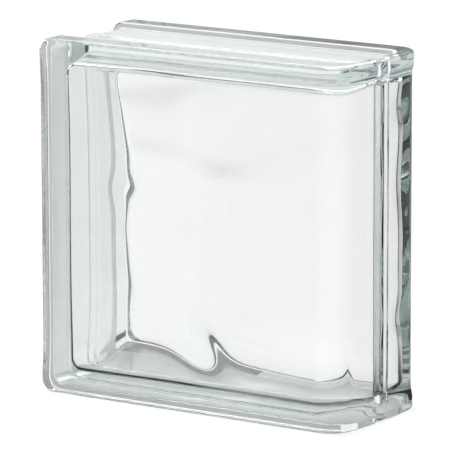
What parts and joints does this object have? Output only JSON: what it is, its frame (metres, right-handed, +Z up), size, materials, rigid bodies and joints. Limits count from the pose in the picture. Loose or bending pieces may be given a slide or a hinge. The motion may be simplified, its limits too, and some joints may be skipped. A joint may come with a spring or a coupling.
{
  "type": "glass block",
  "caption": "Hollow pressed-glass wall block with wavy inner faces, mortar channels on three edges and one smooth closed end.",
  "frame": {"origin": "middle of the underside, on the plane the flanges stand on", "axes": "+X runs along the faces towards the closed end, +Y from the front face to the back face, +Z up"},
  "size_m": [0.19, 0.08, 0.19],
  "materials": {
    "clear_glass": "fire-polished pressed soda-lime glass, with a thin satin coating on the channel sides"
  },
  "bodies": {
    "root": {"front_shell": "clear_glass", "back_shell": "clear_glass"}
  },
  "joints": []
}
